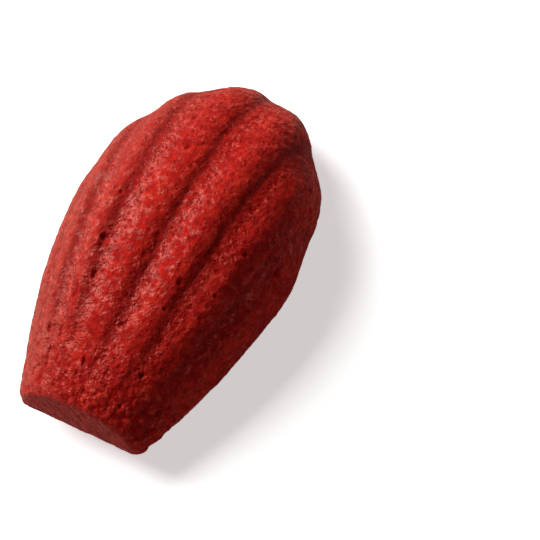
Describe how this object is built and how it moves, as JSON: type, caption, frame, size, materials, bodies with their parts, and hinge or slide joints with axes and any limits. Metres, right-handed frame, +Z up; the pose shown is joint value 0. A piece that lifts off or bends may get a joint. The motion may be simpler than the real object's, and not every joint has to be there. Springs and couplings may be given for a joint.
{
  "type": "madeleine cake",
  "caption": "Small shell-shaped sponge cake with a fan of rounded ribs, a square narrow nose, a scalloped wide end and a gently domed belly.",
  "frame": {"origin": "on the ground, under the middle of the cake's length and width", "axes": "+X along the ribs from the narrow square nose to the wide round end, +Z up out of the ribbed shell side"},
  "size_m": [0.0757, 0.0464, 0.0247],
  "materials": {
    "crumb": null
  },
  "bodies": {
    "root": {"madeleine": "crumb"}
  },
  "joints": []
}
